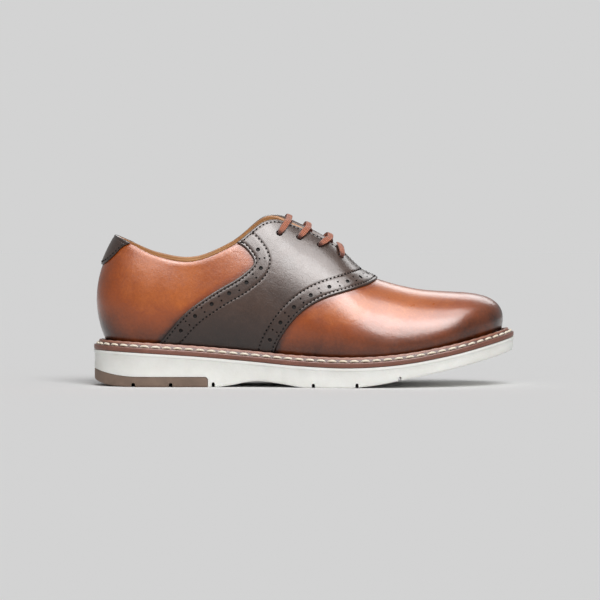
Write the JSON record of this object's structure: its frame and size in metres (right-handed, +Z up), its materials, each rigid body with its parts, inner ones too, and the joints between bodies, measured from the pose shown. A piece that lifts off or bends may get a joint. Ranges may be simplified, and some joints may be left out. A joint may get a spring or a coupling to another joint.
{
  "type": "golf shoe",
  "caption": "Right-foot saddle golf shoe: tan leather with a dark brogued saddle, laced over a padded tongue, on a white wedge sole with a stitched storm welt",
  "frame": {"origin": "middle of the bounding box, on the floor", "axes": "+X to the toe, +Y to the inner (medial) side of the foot, +Z up"},
  "size_m": [0.3, 0.1074, 0.1224],
  "materials": {
    "tan_leather": "smooth full-grain leather, polished, burnished darker towards its edges",
    "dark_leather": "smooth dark brown leather, semi-gloss, brogued edges",
    "lining_leather": "soft matt lining leather",
    "welt_leather": "satin brown storm welt",
    "thread": "waxed cream thread",
    "lace": "flat woven rust lace",
    "aglet": "clear-coated film tip",
    "sole_foam": "moulded matt white foam",
    "tread_rubber": "matt taupe rubber",
    "cork": "bonded cork filler",
    "steel": "plain spring steel and steel eyelets",
    "board": "fibre board",
    "foam": "open-cell foam",
    "textile": "plain woven cotton backing"
  },
  "bodies": {
    "shoe": {"sole_unit": "sole_foam", "heel_tread_insert": "tread_rubber", "welt": "welt_leather", "welt_thread": "thread", "cork_filler": "cork", "shank": "steel", "insole_board": "board", "footbed": "lining_leather", "heel_pad": "foam", "vamp": "tan_leather", "saddle": "dark_leather", "heel_tab": "dark_leather", "toe_puff": "board", "heel_counter": "board", "collar_foam": "foam", "quarter_lining": "lining_leather", "vamp_lining": "textile", "lace": "lace", "aglet_lateral": "aglet", "aglet_medial": "aglet", "quarter_lateral": "tan_leather", "saddle_backing_lateral": "textile", "facing_tape_lateral": "textile", "interlining_lateral": "textile", "eyelet_lateral_1": "steel", "eyelet_lateral_2": "steel", "eyelet_lateral_3": "steel", "eyelet_lateral_4": "steel", "quarter_medial": "tan_leather", "saddle_backing_medial": "textile", "facing_tape_medial": "textile", "interlining_medial": "textile", "eyelet_medial_1": "steel", "eyelet_medial_2": "steel", "eyelet_medial_3": "steel", "eyelet_medial_4": "steel"},
    "tongue": {"tongue_leather": "dark_leather", "tongue_padding": "foam", "tongue_lining": "lining_leather"}
  },
  "joints": [
    {"name": "tongue_flex", "type": "hinge", "parent": "shoe", "child": "tongue", "pos_m": [0.0545, 0, 0.0665], "axis": [0, -1, 0], "range_deg": [0, 9], "stiffness_Nm_per_rad": 0.2, "springref_deg": -6.88}
  ]
}
